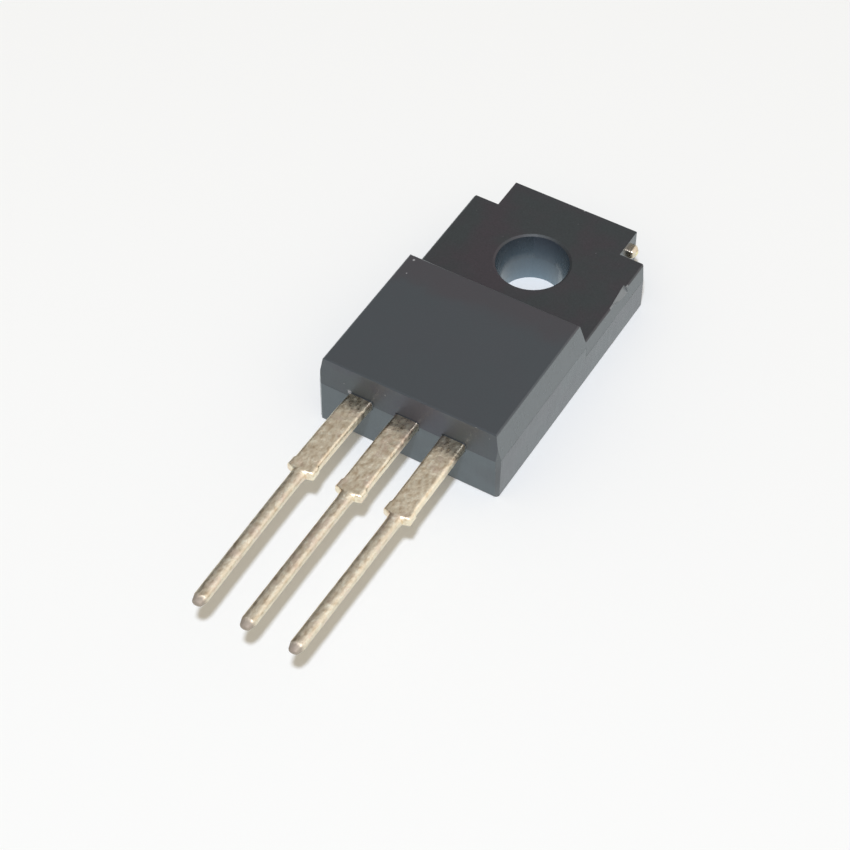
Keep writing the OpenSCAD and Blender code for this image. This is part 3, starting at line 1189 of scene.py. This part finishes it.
@dataclass(frozen=True)
class ShortStrip:
    """Sizes of a strip without shoulder or nub, in millimetres."""

    width: float
    thickness: float
    length: float
    root: float
    tip_l: float
    tip_inset: float
    tip_round: float
    coat: float
    rings: int
    edge_radius: float = 0.15

    def values(self) -> dict:
        """Turns the sizes into the tree's inputs.

        Returns:
            Values by the inputs' names.
        """
        return {"Root": self.root, "Length": self.length, "Thickness": self.thickness, "Bow": 0.0,
                "Wide Width": self.width, "Narrow Width": self.width, "Wide Length": NO_SHOULDER,
                "Nub Width": 0.0, "Edge Radius": self.edge_radius,
                "Tip Length": self.tip_l, "Tip Inset": self.tip_inset, "Tip Round": self.tip_round,
                "Coat": self.coat, "Rings": self.rings}


TIE_STUB = ShortStrip(width=0.65, thickness=0.55, length=0.4, root=0.2, tip_l=0.25, tip_inset=0.10,
                      tip_round=0.20, coat=0.02, rings=50, edge_radius=0.12)


@dataclass
class DippedLead:
    """One piece of the lead frame: a strip with its coat outside the case, and the rest inside."""

    layout: Layout
    node: str
    middle_x: float
    seed: float
    bow: float = 0.0
    stub: ShortStrip | None = None
    stub_y: float = 4.005
    stub_seed_step: float = 3.0
    root: float = 0.3
    overlap: float = 0.1
    stub_overlap: float = 0.02
    sharp_angle: float = 35.0

    def outer(self, strips: StripRecipe, material: bpy.types.Material) -> list[bpy.types.Mesh]:
        """Strips outside the case.

        Args:
            strips: the tree that makes them.
            material: their material.

        Returns:
            Their meshes, in place.
        """
        layout = self.layout
        values = {"Root": self.root, "Length": layout.exit_y - layout.tip_y, "Thickness": layout.lead_t,
                  "Seed": self.seed, "Bow": self.bow, "Material": material}
        strip_spots = [(Axis.TO_TIPS, (self.middle_x, layout.exit_y, layout.lead_h), values)]
        if self.stub:
            short = values | self.stub.values()
            other = short | {"Seed": self.seed + self.stub_seed_step}
            wall = layout.tab_end_half
            strip_spots.append((Axis.TO_EMITTER_SIDE, (wall, self.stub_y, layout.tab_seam_h), short))
            strip_spots.append((Axis.TO_BASE_SIDE, (-wall, self.stub_y, layout.tab_seam_h), other))
        meshes = []
        for axis, spot, given in strip_spots:
            turned = Matrix.Rotation(math.radians(axis.value), 4, "Z")
            meshes.append(strips.run(given, Matrix.Translation(Vector(spot) * MM) @ turned))
        return meshes

    def inner(self) -> bmesh.types.BMesh:
        """What the case holds of this piece, cut off just outside the outer strips' roots.

        Returns:
            The closed rest of the CAD node.
        """
        copy = joined_copy(self.node)
        cut_y = (self.layout.exit_y + self.root - self.overlap) * MM
        trim(copy, Vector((0, cut_y, 0)), Vector((0, -1, 0)))
        if self.stub:
            cut_x = (self.layout.tab_end_half - self.stub_overlap) * MM
            for side in (1, -1):
                trim(copy, Vector((side * cut_x, 0, 0)), Vector((side, 0, 0)))
        return copy

    def build(self, strips: StripRecipe, material: bpy.types.Material) -> None:
        """Makes and reports the whole piece.

        Args:
            strips: the tree that makes the strips outside the case.
            material: the material of the whole piece.
        """
        copy = self.inner()
        for mesh in self.outer(strips, material):
            copy.from_mesh(mesh)
        piece = kept(copy, self.node + "_dipped", material)
        piece.data.set_sharp_from_angle(angle=math.radians(self.sharp_angle))
        report(piece, Slot.LEAD_FRAME, self.node)


@dataclass
class ResinCollars:
    """Thin sleeves of resin that bled out round the leads where they leave the case."""

    layout: Layout
    lead_width: float = 1.3
    thickness: float = 0.022
    lengths: tuple[float, ...] = (0.07, 0.05, 0.06)
    first_seed: float = 31.0

    def build(self, strips: StripRecipe, material: bpy.types.Material) -> None:
        """Makes and reports the three sleeves as one piece.

        Args:
            strips: the tree that makes them.
            material: the case's material.
        """
        layout = self.layout
        copy = bmesh.new()
        for number, length in enumerate(self.lengths):
            sleeve = ShortStrip(width=self.lead_width + 2 * self.thickness,
                                thickness=layout.lead_t + 2 * self.thickness, length=length, root=0.15,
                                tip_l=0.1, tip_inset=0.02, tip_round=0.04, coat=0.05, rings=36)
            values = sleeve.values() | {"Seed": self.first_seed + number, "Material": material}
            spot = Vector(((number - 1) * layout.pitch, layout.exit_y, layout.lead_h))
            copy.from_mesh(strips.run(values, Matrix.Translation(spot * MM)))
        report(kept(copy, "resin_collars", material), Slot.CASE)


@dataclass
class SealedDie:
    """The die, its solder and its wires, which keep their CAD shapes."""

    silicon: Silicon = Silicon()
    solder: SoftSolder = SoftSolder()
    wire: BondWireMetal = BondWireMetal()
    wires: tuple[str, ...] = ("base_wire", "emitter_wire_inner", "emitter_wire_outer")

    def build(self) -> None:
        """Gives each sealed node its material."""
        self._dress("die", self.silicon.material())
        self._dress("die_solder", self.solder.material())
        metal = self.wire.material()
        for name in self.wires:
            self._dress(name, metal)

    @staticmethod
    def _dress(name: str, material: bpy.types.Material) -> None:
        """Puts a material on a CAD node and logs it.

        Args:
            name: the node's name.
            material: its only material.
        """
        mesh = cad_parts[name].data
        mesh.materials.clear()
        mesh.materials.append(material)
        log.info("%s: dressed in %s", name, material.name)


@dataclass
class Studio:
    """Pale floor, a soft sky, one near lamp and the camera."""

    floor_colour: Colour = (0.915, 0.92, 0.92)
    floor_grain: Grain = Grain(0.02, 2.0, 1.0)
    floor_grain_share: float = 0.2
    floor_grain_depth: float = 0.98
    floor_in_picture: Colour = (0.93, 0.935, 0.92)
    picture_share: float = 0.08
    floor_in_gloss: Colour = (0.93, 1.0, 1.03)
    gloss_share: float = 0.95
    floor_half: float = 0.6
    sky: float = 0.46
    sky_in_shade: Colour = (1.02, 0.905, 0.705)
    panel: float = 1.1
    panel_edges: Span = (0.0, 0.36)
    gloom: float = 0.75
    gloom_edges: Span = (-0.75, -0.42)
    key_strength: float = 2.03
    key_colour: Colour = (0.98, 1.06, 1.20)
    key_place: Place = (44.9, -99.0, 203.1)
    key_radius: float = 11.0 * MM
    azimuth: float = 30.49
    elevation: float = 49.286
    roll: float = 0.319
    target: Place = (0.559, -11.429, 2.0)
    distance: float = 117.48 * MM
    focal_pixels: float = 2475.5
    picture_pixels: float = 850.0
    sensor: float = 36.0
    near: float = 5.0 * MM

    def floor(self) -> None:
        """Lays the floor: a diffuse sheet that the lens and glossy faces also see as plain white paper."""
        dress = Dress("pale_floor")
        grain = dress.noise(dress.place(), self.floor_grain)
        darker = tuple(channel * self.floor_grain_depth for channel in self.floor_colour)
        base = dress.mix(grain * self.floor_grain_share, self.floor_colour, darker)
        sheet = dress.node("ShaderNodeBsdfDiffuse", {}, {"Color": base})["BSDF"]
        rays = dress.node("ShaderNodeLightPath")
        to_lens = rays["Is Camera Ray"] * self.picture_share
        to_gloss = rays["Is Glossy Ray"] * self.gloss_share
        seen = self._overlaid(dress, to_lens, sheet, self.floor_in_picture)
        seen = self._overlaid(dress, to_gloss, seen, self.floor_in_gloss)
        dress.node("ShaderNodeOutputMaterial", {}, {"Surface": seen})
        half = self.floor_half
        corners = [(-half, -half, 0), (half, -half, 0), (half, half, 0), (-half, half, 0)]
        mesh = bpy.data.meshes.new("floor")
        mesh.from_pydata(corners, [], [(0, 1, 2, 3)])
        mesh.materials.append(dress.material)
        floor = placed("floor", mesh)

    @staticmethod
    def _overlaid(dress: Dress, share: Wire, below: Wire, colour: Colour) -> Wire:
        """Surface with a share of it taken by an even glow of one colour."""
        glow = dress.node("ShaderNodeEmission", {}, {"Color": colour})["Emission"]
        return dress.node("ShaderNodeMixShader", {}, {0: share, 1: below, 2: glow})["Shader"]

    def sky_light(self) -> None:
        """Sets a soft sky, which for glossy faces is brighter towards +X and darker towards -X."""
        world = bpy.data.worlds.new("sky")
        bench = Bench(emptied_tree(world))
        rays = bench.node("ShaderNodeLightPath")
        tint = bench.mix(rays["Is Diffuse Ray"], WHITE, self.sky_in_shade)
        towards_side = bench.split(bench.node("ShaderNodeTexCoord")["Generated"])[0]
        panel = towards_side.eased(*self.panel_edges)
        gloom = 1.0 - towards_side.eased(*self.gloom_edges)
        change = panel * (self.panel - self.sky) - gloom * self.gloom * self.sky
        strength = self.sky + change * rays["Is Glossy Ray"]
        sky = bench.node("ShaderNodeBackground", {}, {"Color": tint, "Strength": strength})
        bench.node("ShaderNodeOutputWorld", {}, {"Surface": sky["Background"]})
        bpy.context.scene.world = world

    def key_light(self) -> None:
        """Hangs a lamp close by, so that shadows spread, but with even strength over the floor."""
        key = bpy.data.lights.new("key", "POINT")
        key.energy = self.key_strength * 4 * math.pi
        key.color = self.key_colour
        key.shadow_soft_size = self.key_radius
        bench = Bench(emptied_tree(key))
        even = bench.node("ShaderNodeLightFalloff", {}, {"Strength": 1.0})["Constant"]
        bulb = bench.node("ShaderNodeEmission", {}, {"Strength": even})["Emission"]
        bench.node("ShaderNodeOutputLight", {}, {"Surface": bulb})
        placed("key", key).location = Vector(self.key_place) * MM

    def camera(self) -> None:
        """Places the camera where the photograph was taken."""
        turn = math.radians(self.azimuth)
        rise = math.radians(self.elevation)
        back = Vector((math.sin(turn) * math.cos(rise), -math.cos(turn) * math.cos(rise), math.sin(rise)))
        data = bpy.data.cameras.new("camera")
        data.sensor_width = self.sensor
        data.lens = self.focal_pixels / self.picture_pixels * self.sensor
        data.clip_start = self.near
        camera = placed("camera", data)
        moved = Matrix.Translation(Vector(self.target) * MM + back * self.distance)
        turned = back.to_track_quat("Z", "Y").to_matrix().to_4x4()
        rolled = Matrix.Rotation(math.radians(self.roll), 4, "Z")
        camera.matrix_world = moved @ turned @ rolled
        bpy.context.scene.camera = camera

    def build(self) -> None:
        """Sets the whole stage and the plain view transform."""
        self.camera()
        self.floor()
        self.sky_light()
        self.key_light()
        bpy.context.scene.view_settings.view_transform = "Standard"


def main() -> None:
    """Builds the sub-assemblies in order."""
    logging.basicConfig(level=logging.INFO, format="%(name)s %(message)s")
    Studio().build()
    layout = Layout.read()
    case = MouldedCase(layout)
    case.build(BeadRecipe())
    strips = StripRecipe()
    tin = SolderDip(layout).material()
    leads = (DippedLead(layout, "base_lead", -layout.pitch, 11.0, bow=-0.12),
             DippedLead(layout, "collector_frame", 0.0, 5.0, bow=-0.04, stub=TIE_STUB),
             DippedLead(layout, "emitter_lead", layout.pitch, 23.0, bow=0.03))
    for lead in leads:
        lead.build(strips, tin)
    ResinCollars(layout).build(strips, case.material)
    SealedDie().build()


if __name__ == "__main__":
    main()
